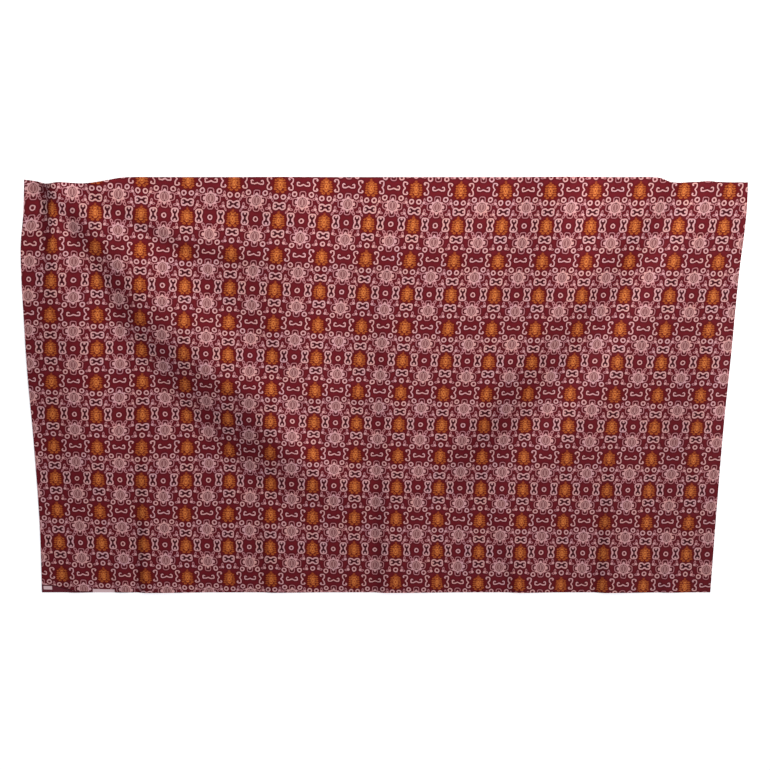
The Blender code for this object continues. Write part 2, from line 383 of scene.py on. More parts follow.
# The print's colours, as 0 to 255 values.
GROUND_BY_MOTIFS = (77, 12, 20)
OPEN_GROUND = (106, 24, 32)
DYE_PATCHES = (82, 14, 20)
GROUND_BY_TREES = (94, 12, 7)
WARM_PINK = (212, 155, 147)
COOL_PINK = (202, 152, 157)
WARM_SOFT_PINK = (190, 124, 122)
COOL_SOFT_PINK = (178, 118, 126)
SPRIG_FILL = (96, 36, 42)
HOURGLASS_INSIDE = (62, 9, 18)
FLOWER_HEART = (134, 84, 84)
FLOWER_VEINS = (196, 146, 142)
FLOWER_PIPS = (72, 26, 32)
TOP_LEAF = (160, 74, 36)
DARK_LEAF = (122, 38, 18)
LIGHT_LEAF = (154, 68, 30)
LEAF_VEINS = (206, 112, 54)
LEAF_FRAMES = (216, 126, 62)
WORN_PRINT = (84, 30, 34)
BEYOND_PRINT = (98, 36, 44)
PRINT_END_INK = (40, 6, 12)
PALE_PATCH = (216, 184, 184)
PALE_UNDERSIDE = (150, 96, 98)
COTTON_ROUGHNESS = 0.85
COTTON_SHINE = 0.08

# The print's end at the left of the lower selvedge, as rows, and the two pale patches woven there.
PrintEnd = namedtuple("PrintEnd", "column row")
PRINT_END = (PrintEnd(-0.2, 11.37), PrintEnd(0.25, 11.55))
PRINT_END_LINE = 1.8
PATCH_CORNER = 0.6
EndPatch = namedtuple("EndPatch", "left right first_row last_row")
END_PATCHES = (
    EndPatch(-55.0, -31.0, 11.395, 11.51),
    EndPatch(83.0, 144.0, 11.452, 11.62),
)

# The camera and the room.
CAMERA_LENS = 35.16
CAMERA_SENSOR = 36.0
CAMERA_TILT = 10.6
CAMERA_DISTANCE = 2.024
CAMERA_AIM = (0.024, 0.0265, 0.0)
FLOOR_REACH = 6.0
FLOOR_GAP = 0.0004
FLOOR_GLOW = 0.45
FLOOR_COLOUR = (0.9, 0.9, 0.9, 1.0)
FLOOR_ROUGHNESS = 0.9
SURROUND_COLOUR = (0.76, 0.78, 1.0, 1.0)
SURROUND_STRENGTH = 0.235
KEY_FROM = (1.0, -0.16, 0.36)
KEY_STRENGTH = 3.5
KEY_SOFTNESS = 14.0
WINDOW_PLACE = (0.35, 1.42, 1.0)
WINDOW_TARGET = (0.1, 0.4, 0.0)
WINDOW_SIZE = (2.6, 0.7)
WINDOW_POWER = 34.0
WINDOW_COLOUR = (1.0, 0.98, 0.93)


def smooth_through(stations, values, at):
    """Read a smooth curve through the values given at rising stations."""
    slopes = np.gradient(values, stations, axis=0)
    last = len(stations) - 2
    left = np.clip(np.searchsorted(stations, at, side="right") - 1, 0, last)
    span = stations[left + 1] - stations[left]
    t = np.clip((at - stations[left]) / span, 0.0, 1.0)
    if values.ndim == 2:
        span = span[:, None]
        t = t[:, None]
    rise = t * t * (3.0 - 2.0 * t)
    leave = t * (1.0 - t) ** 2
    arrive = t * t * (t - 1.0)
    return (
        values[left] * (1.0 - rise)
        + values[left + 1] * rise
        + span * (slopes[left] * leave + slopes[left + 1] * arrive)
    )


def edge_inset(edge, along):
    """How far this edge lies inside the plain rectangle."""
    table = np.array(edge)
    return smooth_through(table[:, 0], table[:, 1], along)


def plan_grid():
    """The cloth's points in plan: an array row for each mesh row, and a column for each section."""
    share_along = np.linspace(0.0, 1.0, CELLS_ALONG + 1)
    share_across = np.linspace(0.0, 1.0, CELLS_ACROSS + 1)
    left = edge_inset(LEFT_END, share_across * WIDTH)
    right = LENGTH - edge_inset(RIGHT_END, share_across * WIDTH)
    x = left[:, None] + share_along[None, :] * (right - left)[:, None]
    top = WIDTH - edge_inset(UPPER_EDGE, x.ravel()).reshape(x.shape)
    y = LOWER_EDGE + share_across[:, None] * (top - LOWER_EDGE)
    return x - LENGTH / 2, y - WIDTH / 2


def fold_samples(fold):
    """Close samples along a fold's crest, as a section whose every column is an array."""
    table = np.array(fold)
    rows = FoldSection(*table.T)
    steps = np.hypot(np.diff(rows.x), np.diff(rows.y))
    stations = np.concatenate(([0.0], np.cumsum(steps)))
    at = np.linspace(0.0, stations[-1], SAMPLES_PER_FOLD)
    return FoldSection(*smooth_through(stations, table, at).T)


def near_crest(fold, x, y):
    """For each point: the fold's crest nearest to it, the way to it from there, and the way inside."""
    crest = fold_samples(fold)
    nearest = np.argmin(np.hypot(x[..., None] - crest.x, y[..., None] - crest.y), axis=-1)
    section = FoldSection(*(column[nearest] for column in crest))
    heading_x = np.gradient(crest.x)[nearest]
    heading_y = np.gradient(crest.y)[nearest]
    step = np.hypot(heading_x, heading_y)
    away = np.stack([x - section.x, y - section.y])
    inwards = np.stack([-heading_y, heading_x]) / step
    return section, away, inwards


def fold_height(fold, x, y):
    """The height of one fold at each point, zero beyond its flanks."""
    section, away, inwards = near_crest(fold, x, y)
    on_inside = (away * inwards).sum(axis=0) > 0.0
    flank = np.where(on_inside, section.inside, section.outside)
    share = np.minimum(np.hypot(*away) / flank, 1.0)
    return section.height * (0.5 + 0.5 * np.cos(np.pi * share))


def share_down(row):
    """How far down the cloth a row lies, from 0 at the top row to 1 at the bottom one."""
    return np.clip((row - TOP_ROW) / (BOTTOM_ROW - TOP_ROW), 0.0, 1.0)


def print_row(column, row, y):
    """A better reading of the print's row at each point, from the last reading."""
    down = share_down(row)
    left_of_middle = np.maximum(MIDDLE_COLUMN - column, 0.0) / MIDDLE_COLUMN
    right_of_middle = np.maximum(column - MIDDLE_COLUMN, 0.0) / (LAST_COLUMN - MIDDLE_COLUMN)
    sag = TOP_SAG + (BOTTOM_SAG - TOP_SAG) * down
    raised = ROW_SWELL * np.sin(np.pi * down**2) + sag * left_of_middle**SAG_POWER
    dropped = RIGHT_DROP * down * right_of_middle**RIGHT_DROP_POWER
    return (ROW_ZERO_HEIGHT + raised - dropped - y) / ROW_STEP


def print_column(row, x):
    """The print's column at each point, counted from the left."""
    down = share_down(row)
    first = FIRST_COLUMN_FOOT + FIRST_COLUMN_LEAN * (1.0 - down) ** LEAN_POWER
    bend = first + BEND_COLUMN * COLUMN_STEP
    narrowing = BOTTOM_COLUMN_STEP_BEYOND - TOP_COLUMN_STEP_BEYOND
    step_beyond = TOP_COLUMN_STEP_BEYOND + narrowing * down**2
    return np.where(x < bend, (x - first) / COLUMN_STEP, BEND_COLUMN + (x - bend) / step_beyond)


def camera_place():
    """Where the camera stands, above what it looks at and tilted back from the upper selvedge."""
    tilt = np.radians(CAMERA_TILT)
    return Vector(CAMERA_AIM) + CAMERA_DISTANCE * Vector((0.0, np.sin(tilt), np.cos(tilt)))


def pleated_away(x, y):
    """How much cloth the corner pleat hides between each point and the rest of the cloth."""
    depths = PleatDepth(*np.array(PLEAT_DEPTHS).T)
    beyond = np.clip((PLEAT_LINE - x) / PLEAT_SOFTNESS + 0.5, 0.0, 1.0)
    return np.interp(y, depths.y, depths.hidden) * beyond


def swag_pull(x, y):
    """How far the main swag draws the cloth towards its middle, as two arrays."""
    section, away, inwards = near_crest(MAIN_SWAG, x, y)
    pulls = SwagPull(*np.array(SWAG_PULLS).T)
    centre = np.interp(section.x, pulls.x, pulls.centre)
    strength = np.interp(section.x, pulls.x, pulls.share) * section.height
    outwards = -(away * inwards).sum(axis=0) / section.outside
    share = np.clip((outwards - centre) / PULL_REACH, -1.0, 1.0)
    return inwards * strength * (0.5 + 0.5 * np.cos(np.pi * share))


def print_place(x, y, height):
    """The print's column and row at each point of the folded cloth."""
    pull_x, pull_y = swag_pull(x, y)
    eye = camera_place()
    reach = eye.z / (eye.z - height)
    seen_x = eye.x + (x - eye.x) * reach - pull_x
    seen_y = eye.y + (y - eye.y) * reach - pull_y
    seen_x = seen_x - pleated_away(x, y)
    column = (seen_x + LENGTH / 2) / LENGTH * LAST_COLUMN
    row = (ROW_ZERO_HEIGHT - seen_y) / ROW_STEP
    for _ in range(PLACING_PASSES):
        row = print_row(column, row, seen_y)
        column = print_column(row, seen_x)
    return column, row


def rim_cells(rows, columns):
    """The grid points round the outline, anticlockwise seen from above."""
    lower_edge = [(0, column) for column in range(columns - 1)]
    right_end = [(row, columns - 1) for row in range(rows - 1)]
    upper_edge = [(rows - 1, column) for column in range(columns - 1, 0, -1)]
    left_end = [(row, 0) for row in range(rows - 1, 0, -1)]
    return lower_edge + right_end + upper_edge + left_end


def shell_faces(rows, columns):
    """The faces of a closed shell: the upper grid's points come first, then the lower grid's."""
    index = np.arange(rows * columns).reshape(rows, columns)
    corners = (index[:-1, :-1], index[:-1, 1:], index[1:, 1:], index[1:, :-1])
    upper = np.stack(corners, axis=-1).reshape(-1, 4)
    lower = upper[:, ::-1] + rows * columns
    rim = rim_cells(rows, columns)
    sides = []
    for (row, column), (next_row, next_column) in zip(rim, rim[1:] + rim[:1]):
        here = index[row, column]
        there = index[next_row, next_column]
        sides.append((here + rows * columns, there + rows * columns, there, here))
    return np.concatenate((upper, lower, np.array(sides)))


def lay_map(mesh, name, across, up):
    """A UV map that gives each corner of the mesh its point's two values."""
    corner_points = np.empty(len(mesh.loops), dtype=np.int32)
    mesh.loops.foreach_get("vertex_index", corner_points)
    values = np.stack([across[corner_points], up[corner_points]], axis=-1)
    mesh.uv_layers.new(name=name).data.foreach_set("uv", values.ravel())


def make_cloth():
    """The cloth as a thin closed shell in its folds, with its print's coordinates as a UV map."""
    x, y = plan_grid()
    underside = sum(fold_height(fold, x, y) for fold in FOLDS)
    upper = np.stack([x, y, underside + CLOTH_THICKNESS], axis=-1).reshape(-1, 3)
    lower = np.stack([x, y, underside], axis=-1).reshape(-1, 3)
    mesh = bpy.data.meshes.new("sarong")
    mesh.from_pydata(np.concatenate((upper, lower)), [], shell_faces(*x.shape))
    column, row = print_place(x, y, underside)
    lay_map(mesh, "print", np.tile(column.ravel(), 2), np.tile(row.ravel(), 2))
    underside_share = mesh.attributes.new("underside", "FLOAT", "POINT")
    underside_share.data.foreach_set("value", np.repeat((0.0, 1.0), x.size))
    mesh.shade_smooth()
    mesh.set_sharp_from_angle(angle=np.radians(SHARP_ANGLE))
    mesh.materials.append(cotton_material())
    cloth = bpy.data.objects.new("sarong", mesh)
    bpy.context.scene.collection.objects.link(cloth)
    return cloth


class Field:
    """A value over the cloth, as a shader socket. Arithmetic on it adds the nodes that work it out."""

    def __init__(self, tree, socket):
        self.tree = tree
        self.socket = socket

    def by(self, kind, operation, *values):
        """A new node's result from the values given, this field among them."""
        node = self.tree.nodes.new(kind)
        node.operation = operation
        for slot, value in zip(node.inputs, values):
            connect(self.tree, value, slot)
        shown = [output for output in node.outputs if output.enabled]
        return Field(self.tree, shown[0])

    def math(self, operation, *others):
        return self.by("ShaderNodeMath", operation, self, *others)

    def vector(self, operation, *others):
        return self.by("ShaderNodeVectorMath", operation, self, *others)

    def __add__(self, other):
        return self.math("ADD", other)

    def __sub__(self, other):
        return self.math("SUBTRACT", other)

    def __rsub__(self, other):
        return self.by("ShaderNodeMath", "SUBTRACT", other, self)

    def __mul__(self, other):
        return self.math("MULTIPLY", other)

    __rmul__ = __mul__

    def __truediv__(self, other):
        return self.math("DIVIDE", other)

    def __neg__(self):
        return self.math("MULTIPLY", -1.0)

    def __abs__(self):
        return self.math("ABSOLUTE")


def connect(tree, value, slot):
    """Give a socket a field, or a plain number or vector."""
    if isinstance(value, Field):
        tree.links.new(value.socket, slot)
    else:
        slot.default_value = value


def lowest(*fields):
    """The least of some fields: as distances, the union of their shapes."""
    result = fields[0]
    for field in fields[1:]:
        result = result.math("MINIMUM", field)
    return result


def place_of(across, up):
    """A place in the chart, as one vector field. Either coordinate may be a plain number."""
    tree = (across if isinstance(across, Field) else up).tree
    node = tree.nodes.new("ShaderNodeCombineXYZ")
    connect(tree, across, node.inputs[0])
    connect(tree, up, node.inputs[1])
    return Field(tree, node.outputs[0])


def flat(across, up):
    """A point of the chart, as a vector."""
    return (across, up, 0.0)


def disc(place, centre, radius):
    return place.vector("DISTANCE", centre) - radius


def ring(place, centre, outer, hole):
    middle = (outer + hole) / 2
    return abs(place.vector("DISTANCE", centre) - middle) - (outer - hole) / 2


def ellipse(place, centre, half_across, half_up, turn=0.0):
    """The distance to an ellipse, turned anticlockwise by some degrees. Exact only near its outline."""
    tree = place.tree
    node = tree.nodes.new("ShaderNodeMapping")
    node.vector_type = "TEXTURE"
    connect(tree, place, node.inputs["Vector"])
    node.inputs["Location"].default_value = (centre[0], centre[1], 0.0)
    node.inputs["Rotation"].default_value = (0.0, 0.0, np.radians(turn))
    node.inputs["Scale"].default_value = (half_across, half_up, 1.0)
    size = min(half_across, half_up)
    return (Field(tree, node.outputs[0]).vector("LENGTH") - 1.0) * size


def stroke(shape, width):
    """A line of this width just inside a shape's outline."""
    return abs(shape + width / 2) - width / 2


def bar(place, start, end, half_width):
    """A straight line with round ends."""
    run = Vector(end) - Vector(start)
    away = place.vector("SUBTRACT", start)
    share = away.vector("DOT_PRODUCT", tuple(run / run.length_squared))
    share = share.math("MAXIMUM", 0.0).math("MINIMUM", 1.0)
    tree = place.tree
    spine = tree.nodes.new("ShaderNodeVectorMath")
    spine.operation = "MULTIPLY_ADD"
    connect(tree, share, spine.inputs[0])
    spine.inputs[1].default_value = tuple(run)
    spine.inputs[2].default_value = start
    return place.vector("DISTANCE", Field(tree, spine.outputs[0])) - half_width


def inked(shape, softness=INK_SOFTNESS):
    """How much of the ink of a shape lies at each point, from 0 to 1."""
    node = shape.tree.nodes.new("ShaderNodeMath")
    node.operation = "MULTIPLY_ADD"
    node.use_clamp = True
    connect(shape.tree, shape, node.inputs[0])
    node.inputs[1].default_value = -1.0 / softness
    node.inputs[2].default_value = 0.5
    return Field(shape.tree, node.outputs[0])


def mixed(share, under, over):
    """One colour laid over another, by a share from 0 to 1."""
    tree = share.tree
    node = tree.nodes.new("ShaderNodeMix")
    node.data_type = "RGBA"
    connect(tree, share, node.inputs["Factor"])
    connect(tree, under, node.inputs[6])
    connect(tree, over, node.inputs[7])
    return Field(tree, node.outputs[2])


def srgb(colour):
    """A colour given as 0 to 255 values, made linear."""
    shares = np.array(colour) / 255.0
    linear = np.where(shares <= 0.04045, shares / 12.92, ((shares + 0.055) / 1.055) ** 2.4)
    return (*linear.tolist(), 1.0)


def split(place):
    """A place's two coordinates as fields: across and up."""
    node = place.tree.nodes.new("ShaderNodeSeparateXYZ")
    connect(place.tree, place, node.inputs[0])
    return Field(place.tree, node.outputs[0]), Field(place.tree, node.outputs[1])


def rounded_box(place, centre, half_across, half_up, corner):
    """The distance to a box with round corners. The half sizes reach to its outline."""
    size = flat(half_across - corner, half_up - corner)
    beyond = place.vector("SUBTRACT", centre).vector("ABSOLUTE").vector("SUBTRACT", size)
    return beyond.vector("MAXIMUM", (0.0, 0.0, 0.0)).vector("LENGTH") - corner


def hourglass(lobe, waist, inner_lobe, cross, dot):
    """An hourglass: its pale body, and the dark cloth inside it round a pale dot in each lobe."""
    body = lobe.math("SMOOTH_MIN", waist, HOURGLASS_BLEND)
    inside = lowest(inner_lobe, cross).math("MAXIMUM", -dot)
    return body, inside


def upright_hourglass(place):
    """The hourglasses between two trees, in the rows without brackets."""
    across, up = split(place)
    aside = abs(across - UPRIGHT_MIDDLE[0])
    below = UPRIGHT_MIDDLE[1] - up
    half = place_of(aside, below)
    lobe = rounded_box(half, flat(0.0, 10.0), 9.9, 7.4, HOURGLASS_CORNER)
    waist = (aside - 7.5).math("MAXIMUM", below - 10.0)
    inner_lobe = rounded_box(half, flat(0.0, 9.2), 6.5, 5.0, 4.0)
    cross = bar(half, flat(0.0, 0.0), flat(3.0, 8.0), HOURGLASS_ARM)
    dot = disc(half, flat(0.0, 11.4), 2.7)
    return hourglass(lobe, waist, inner_lobe, cross, dot)


def sideways_hourglass(place):
    """The hourglasses above and below a tree, in the rows without brackets."""
    across, up = split(place)
    aside = abs(up - SIDEWAYS_MIDDLE[1])
    half = place_of(across, aside)
    lobe = rounded_box(half, flat(9.2, 0.0), 7.5, 10.0, HOURGLASS_CORNER)
    waist = (aside - 6.6).math("MAXIMUM", across - 9.2)
    inner_lobe = rounded_box(half, flat(8.7, 0.0), 4.9, 6.4, 3.8)
    cross = bar(half, flat(0.0, 0.0), flat(7.8, 3.0), HOURGLASS_ARM)
    dot = disc(half, flat(11.0, 0.0), 2.7)
    return hourglass(lobe, waist, inner_lobe, cross, dot)


Medallion = namedtuple("Medallion", "heart veins pips rim petals")


def medallion(place):
    """The large flower between four trees: its veined heart, its pointed rim and its outer petals."""
    across, up = split(place)
    aside = abs(across - MEDALLION[0])
    high = abs(up - MEDALLION[1])
    folded = place_of(aside, high)
    middle = flat(0.0, 0.0)
    heart = ellipse(folded, middle, 11.8, 12.4)
    vein_ring = stroke(ellipse(folded, middle, 9.4, 10.4), 1.9)
    veins = lowest(vein_ring, bar(folded, middle, flat(0.0, 5.6), 1.5))
    pips = disc(folded, flat(0.0, 10.6), 1.8)
    sides = (aside + high * RIM_SIDE_LEAN - RIM_SIDE_REACH) * RIM_SIDE_SHARE
    sides = sides.math("MAXIMUM", high - RIM_HALF_HEIGHT)
    end_points = (aside * RIM_END_LEAN + high - RIM_END_REACH) * RIM_END_SHARE
    turn = high.math("ARCTAN2", aside)
    cuts = ((turn * RIM_POINTS).math("COSINE") + RIM_CUT_WIDTH) * RIM_CUT_DEPTH
    cuts = cuts.math("MAXIMUM", RIM_UNCUT_REACH - folded.vector("LENGTH"))
    rim = lowest(sides, end_points).math("MAXIMUM", -cuts)
    side_petal = rounded_box(folded, flat(14.0, 0.0), 12.2, 10.2, 7.5)
    end_petal = rounded_box(folded, flat(0.0, 17.2), 8.4, 10.2, 6.0)
    return Medallion(heart, veins, pips, rim, lowest(side_petal, end_petal))


def flower_buds(place):
    """The pairs of buds that spread from each large flower towards the rows without brackets."""
    lower = disc(place, flat(46.2, 60.4), 5.0)
    upper = ellipse(place, flat(42.3, 67.0), 3.8, 6.2, 32.0)
    return lowest(stroke(lower, 2.6), stroke(upper, 2.0))


def brackets(place):
    """The curled brackets on each side of a tree, in the other rows."""
    across, up = split(place)
    curl = stroke(rounded_box(place, flat(27.2, 9.8), 7.0, 6.9, 5.4), CURL_LINE)
    gap = (across - 30.4).math("MAXIMUM", up - 11.0)
    curl = curl.math("MAXIMUM", -gap)
    tip = disc(place, flat(23.2, 10.6), 2.1)
    joint = bar(place, flat(32.2, 5.6), flat(27.8, 0.0), CURL_LINE / 2)
    return lowest(curl, tip, joint)


def moustache(place):
    """The curled moustache between two brackets."""
    across, up = split(place)
    hook = stroke(rounded_box(place, flat(45.9, 0.6), 4.2, 6.0, 4.1), CURL_LINE)
    gap = (46.2 - across).math("MAXIMUM", up - 3.0)
    hook = hook.math("MAXIMUM", -gap)
    arm = bar(place, flat(45.6, -3.7), flat(51.0, -3.9), CURL_LINE / 2)
    rise = bar(place, flat(51.0, -3.9), flat(59.5, 0.0), CURL_LINE / 2)
    return lowest(hook, arm, rise)


def rosettes(place, side):
    """The small rings. The one under a tree's row stands alone above the brackets and in a pair below."""
    by_tree = place_of(4.75 - 4.75 * side, 32.2 - 0.9 * side)
    lone = place_of(58.5, 89.3 - 1.7 * side)
    return lowest(
        ring(place, lone, RING_OUTER - 0.3, RING_HOLE),
        ring(place, flat(37.2, 25.2), RING_OUTER, RING_HOLE),
        ring(place, by_tree, RING_OUTER, RING_HOLE),
    )


Sprig = namedtuple("Sprig", "from_up across up has_tail")
SPRIGS = (
    Sprig(-89.4, 24.4, -62.3, 1.0),
    Sprig(-47.1, 22.5, -35.2, 1.0),
    Sprig(0.0, 16.2, 29.7, 0.0),
    Sprig(45.9, 24.0, 58.4, 0.0),
)


def sprigs(across, up):
    """The small leafy sprigs, one in each quarter of the repeat's height. The lower two have a tail."""
    tree = across.tree
    high = REPEAT_UP / 2
    share = (up / REPEAT_UP) + 0.5
    ramp = tree.nodes.new("ShaderNodeValToRGB")
    ramp.color_ramp.interpolation = "CONSTANT"
    connect(tree, share, ramp.inputs[0])
    stops = ramp.color_ramp.elements
    while len(stops) < len(SPRIGS):
        stops.new(1.0)
    for stop, sprig in zip(stops, SPRIGS):
        stop.position = max((sprig.from_up + high) / REPEAT_UP, 0.0)
        stop.color = (sprig.across / REPEAT_UP, (sprig.up + high) / REPEAT_UP, sprig.has_tail, 1.0)
    chosen = Field(tree, ramp.outputs[0])
    centre = chosen.vector("MULTIPLY", (REPEAT_UP, REPEAT_UP, 0.0)).vector("SUBTRACT", flat(0.0, high))
    place = place_of(across, up).vector("SUBTRACT", centre)
    body = disc(place, flat(0.0, 0.0), 3.6)
    upper_leaf = ellipse(place, flat(1.6, 6.2), 3.1, 5.6)
    side_leaf = ellipse(place, flat(6.2, -1.0), 4.8, 3.0)
    parts = tree.nodes.new("ShaderNodeSeparateColor")
    connect(tree, chosen, parts.inputs[0])
    no_tail = 1.0 - Field(tree, parts.outputs[2])
    tail = ellipse(place, flat(-4.4, -7.2), 2.5, 5.4, -33.0) + no_tail * NO_TAIL_DISTANCE
    return body, lowest(upper_leaf, side_leaf, tail)


TreeLobe = namedtuple("TreeLobe", "across up half_across half_up")
TREE_LOBES = (
    TreeLobe(4.4, 15.2, 3.6, 2.6),
    TreeLobe(10.4, 11.8, 3.6, 2.4),
    TreeLobe(10.2, 5.8, 4.6, 2.3),
    TreeLobe(11.4, 0.2, 4.2, 2.2),
    TreeLobe(10.8, -5.6, 4.8, 2.3),
    TreeLobe(12.2, -11.4, 4.2, 2.3),
    TreeLobe(6.4, -16.4, 4.4, 2.9),
    TreeLobe(0.0, 0.4, 6.2, 14.6),
)
Tree = namedtuple("Tree", "leaves top_leaf veins frames")


def orange_tree(place, fraying):
    """The tree's frayed leaves with their veins, the leaf on its top, and the frames at its heart."""
    leaves = []
    for lobe in TREE_LOBES:
        leaves.append(ellipse(place, flat(lobe.across, lobe.up), lobe.half_across, lobe.half_up))
    top_leaf = ellipse(place, flat(0.0, 20.2), 3.6, 4.6) + fraying
    heart = rounded_box(place, flat(0.0, 0.6), 7.2, 12.4, 3.8)
    seed = ellipse(place, flat(0.0, 0.6), 3.4, 7.4)
    veins = lowest(*(stroke(shape, TREE_LINE) for shape in leaves))
    frames = lowest(stroke(heart, HEART_LINE), stroke(seed, TREE_LINE))
    return Tree(lowest(*leaves) + fraying, top_leaf, veins, frames)


def cloth_coordinates(tree):
    """Millimetres along and across the cloth, from the print's columns and rows."""
    uv = tree.nodes.new("ShaderNodeUVMap")
    uv.uv_map = "print"
    column, row = split(Field(tree, uv.outputs[0]))
    return column * REPEAT_ACROSS, row * (-REPEAT_UP / 2)


def noise(tree, place, pattern):
    """A soft random pattern over these places."""
    node = tree.nodes.new("ShaderNodeTexNoise")
    node.noise_dimensions = "4D"
    connect(tree, place, node.inputs["Vector"])
    node.inputs["W"].default_value = pattern.seed
    node.inputs["Scale"].default_value = 1.0 / pattern.size
    node.inputs["Detail"].default_value = pattern.detail
    return node


def selvedge(cloth_place, printed):
    """The print's colour, with its unprinted end and pale patches at the left of the lower selvedge."""
    along, high = split(cloth_place)
    node = along.tree.nodes.new("ShaderNodeMapRange")
    connect(along.tree, along, node.inputs["Value"])
    first, last = PRINT_END
    node.inputs["From Min"].default_value = first.column * REPEAT_ACROSS
    node.inputs["From Max"].default_value = last.column * REPEAT_ACROSS
    node.inputs["To Min"].default_value = -first.row * REPEAT_UP / 2
    node.inputs["To Max"].default_value = -last.row * REPEAT_UP / 2
    beyond = high - Field(along.tree, node.outputs[0])
    colour = mixed(inked(beyond), printed, srgb(BEYOND_PRINT))
    colour = mixed(inked(abs(beyond) - PRINT_END_LINE / 2), colour, srgb(PRINT_END_INK))
    for patch in END_PATCHES:
        middle_row = (patch.first_row + patch.last_row) / 2
        centre = flat((patch.left + patch.right) / 2, -middle_row * REPEAT_UP / 2)
        half_up = (patch.last_row - patch.first_row) * REPEAT_UP / 4
        half_across = (patch.right - patch.left) / 2
        shape = rounded_box(cloth_place, centre, half_across, half_up, PATCH_CORNER)
        colour = mixed(inked(shape), colour, srgb(PALE_PATCH))
    return colour


def random_share(noise_node):
    """A soft random pattern spread over 0 to 1."""
    share = Field(noise_node.id_data, noise_node.outputs[0]) * SPREAD_GAIN - SPREAD_OFFSET
    return share.math("MAXIMUM", 0.0).math("MINIMUM", 1.0)


def weave_bump(tree, cloth_place):
    """Slubs of the two sets of yarns, as a slight bump."""
    length_yarns = noise(tree, cloth_place.vector("MULTIPLY", (YARN_STRETCH, 1.0, 1.0)), LENGTH_YARNS)
    cross_yarns = noise(tree, cloth_place.vector("MULTIPLY", (1.0, YARN_STRETCH, 1.0)), CROSS_YARNS)
    bump = tree.nodes.new("ShaderNodeBump")
    bump.inputs["Strength"].default_value = WEAVE_STRENGTH
    bump.inputs["Distance"].default_value = WEAVE_DEPTH
    yarns = Field(tree, length_yarns.outputs[0]) + Field(tree, cross_yarns.outputs[0])
    connect(tree, yarns, bump.inputs["Height"])
    return Field(tree, bump.outputs[0])


def print_drift(tree, cloth_place):
    """The small uneven shifts of a print made by hand."""
    wobble = noise(tree, cloth_place, WOBBLE)
    drift = Field(tree, wobble.outputs["Color"]).vector("SUBTRACT", (0.5, 0.5, 0.5))
    return drift.vector("MULTIPLY", flat(DRIFT_REACH, DRIFT_REACH))


ChartPlace = namedtuple("ChartPlace", "mirrored upright across up side from_tree")


def chart_place(along, high, drift):
    """Where each point of the cloth lies in the chart: mirrored at its brackets, upright, and by its tree."""
    raised = high + (REPEAT_UP / 2 - TREES_BELOW_BRACKETS)
    across = along.math("PINGPONG", REPEAT_ACROSS / 2)
    up = raised.math("WRAP", REPEAT_UP / 2, -REPEAT_UP / 2)
    from_brackets = raised.math("PINGPONG", REPEAT_UP / 2)
    side = up.math("SIGN")
    mirrored = place_of(across, from_brackets).vector("ADD", drift)
    drift_across, drift_up = split(drift)
    across = across + drift_across
    up = up + drift_up
    upright = place_of(across, up)
    from_tree = high.math("WRAP", REPEAT_UP / 4, -REPEAT_UP / 4) + drift_up
    return ChartPlace(mirrored, upright, across, up, side, from_tree)


Motifs = namedtuple("Motifs", "bold soft nearest upright_inside sideways_inside flower sprig_leaves orange")


def print_motifs(tree, cloth_place, place):
    """The shapes of all the motifs, with the bold ones joined, and the soft ones."""
    upright_body, upright_inside = upright_hourglass(place.mirrored)
    nudged = place.mirrored.vector("ADD", place_of(0.0, SIDEWAYS_NUDGE * place.side))
    sideways_body, sideways_inside = sideways_hourglass(nudged)
    flower = medallion(place.mirrored)
    buds = flower_buds(place.mirrored)
    rings = rosettes(place.mirrored, place.side)
    curls = lowest(brackets(place.mirrored), moustache(place.upright))
    sprig, sprig_leaves = sprigs(place.across, place.up)
    fraying = Field(tree, noise(tree, cloth_place, FRAYS).outputs[0]) * FRAY_REACH - FRAY_INSET
    orange = orange_tree(place_of(place.across, place.from_tree), fraying)
    bold = lowest(upright_body, sideways_body, rings, curls, flower.rim, sprig + SPRIG_SWELL)
    soft = lowest(buds, stroke(sprig_leaves, LEAF_LINE), stroke(flower.petals, PETAL_LINE))
    nearest = lowest(bold, soft, flower.petals, sprig_leaves)
    return Motifs(bold, soft, nearest, upright_inside, sideways_inside, flower, sprig_leaves, orange)


def ground_colour(motifs, dye):
    """Maroon cloth, lighter away from the motifs and redder round the trees."""
    open_ground = inked(OPEN_GROUND_FROM - motifs.nearest, GROUND_SOFTNESS)
    ground = mixed(open_ground, srgb(GROUND_BY_MOTIFS), srgb(OPEN_GROUND))
    ground = mixed(dye * DYE_COVER, ground, srgb(DYE_PATCHES))
    halo = inked(motifs.orange.leaves - HALO_REACH, GROUND_SOFTNESS)
    return mixed(halo, ground, srgb(GROUND_BY_TREES))


def with_pink_print(ground, motifs, ink):
    """The ground with its pink line work, and the dark cloth inside the hourglasses."""
    bold_ink = mixed(ink, srgb(WARM_PINK), srgb(COOL_PINK))
    colour = mixed(inked(motifs.sprig_leaves, FILL_SOFTNESS) * SPRIG_COVER, ground, srgb(SPRIG_FILL))
    soft_share = inked(motifs.soft, SOFT_INK_SOFTNESS)
    colour = mixed(soft_share, colour, mixed(ink, srgb(WARM_SOFT_PINK), srgb(COOL_SOFT_PINK)))
    colour = mixed(inked(motifs.bold), colour, bold_ink)
    insides = lowest(motifs.upright_inside, motifs.sideways_inside)
    return mixed(inked(insides, VEIN_SOFTNESS), colour, srgb(HOURGLASS_INSIDE))


def with_flower_hearts(colour, flower):
    """The colour so far with the veined hearts of the large flowers."""
    colour = mixed(inked(flower.heart, FILL_SOFTNESS), colour, srgb(FLOWER_HEART))
    colour = mixed(inked(flower.veins, VEIN_SOFTNESS) * FLOWER_VEIN_COVER, colour, srgb(FLOWER_VEINS))
    return mixed(inked(flower.pips), colour, srgb(FLOWER_PIPS))


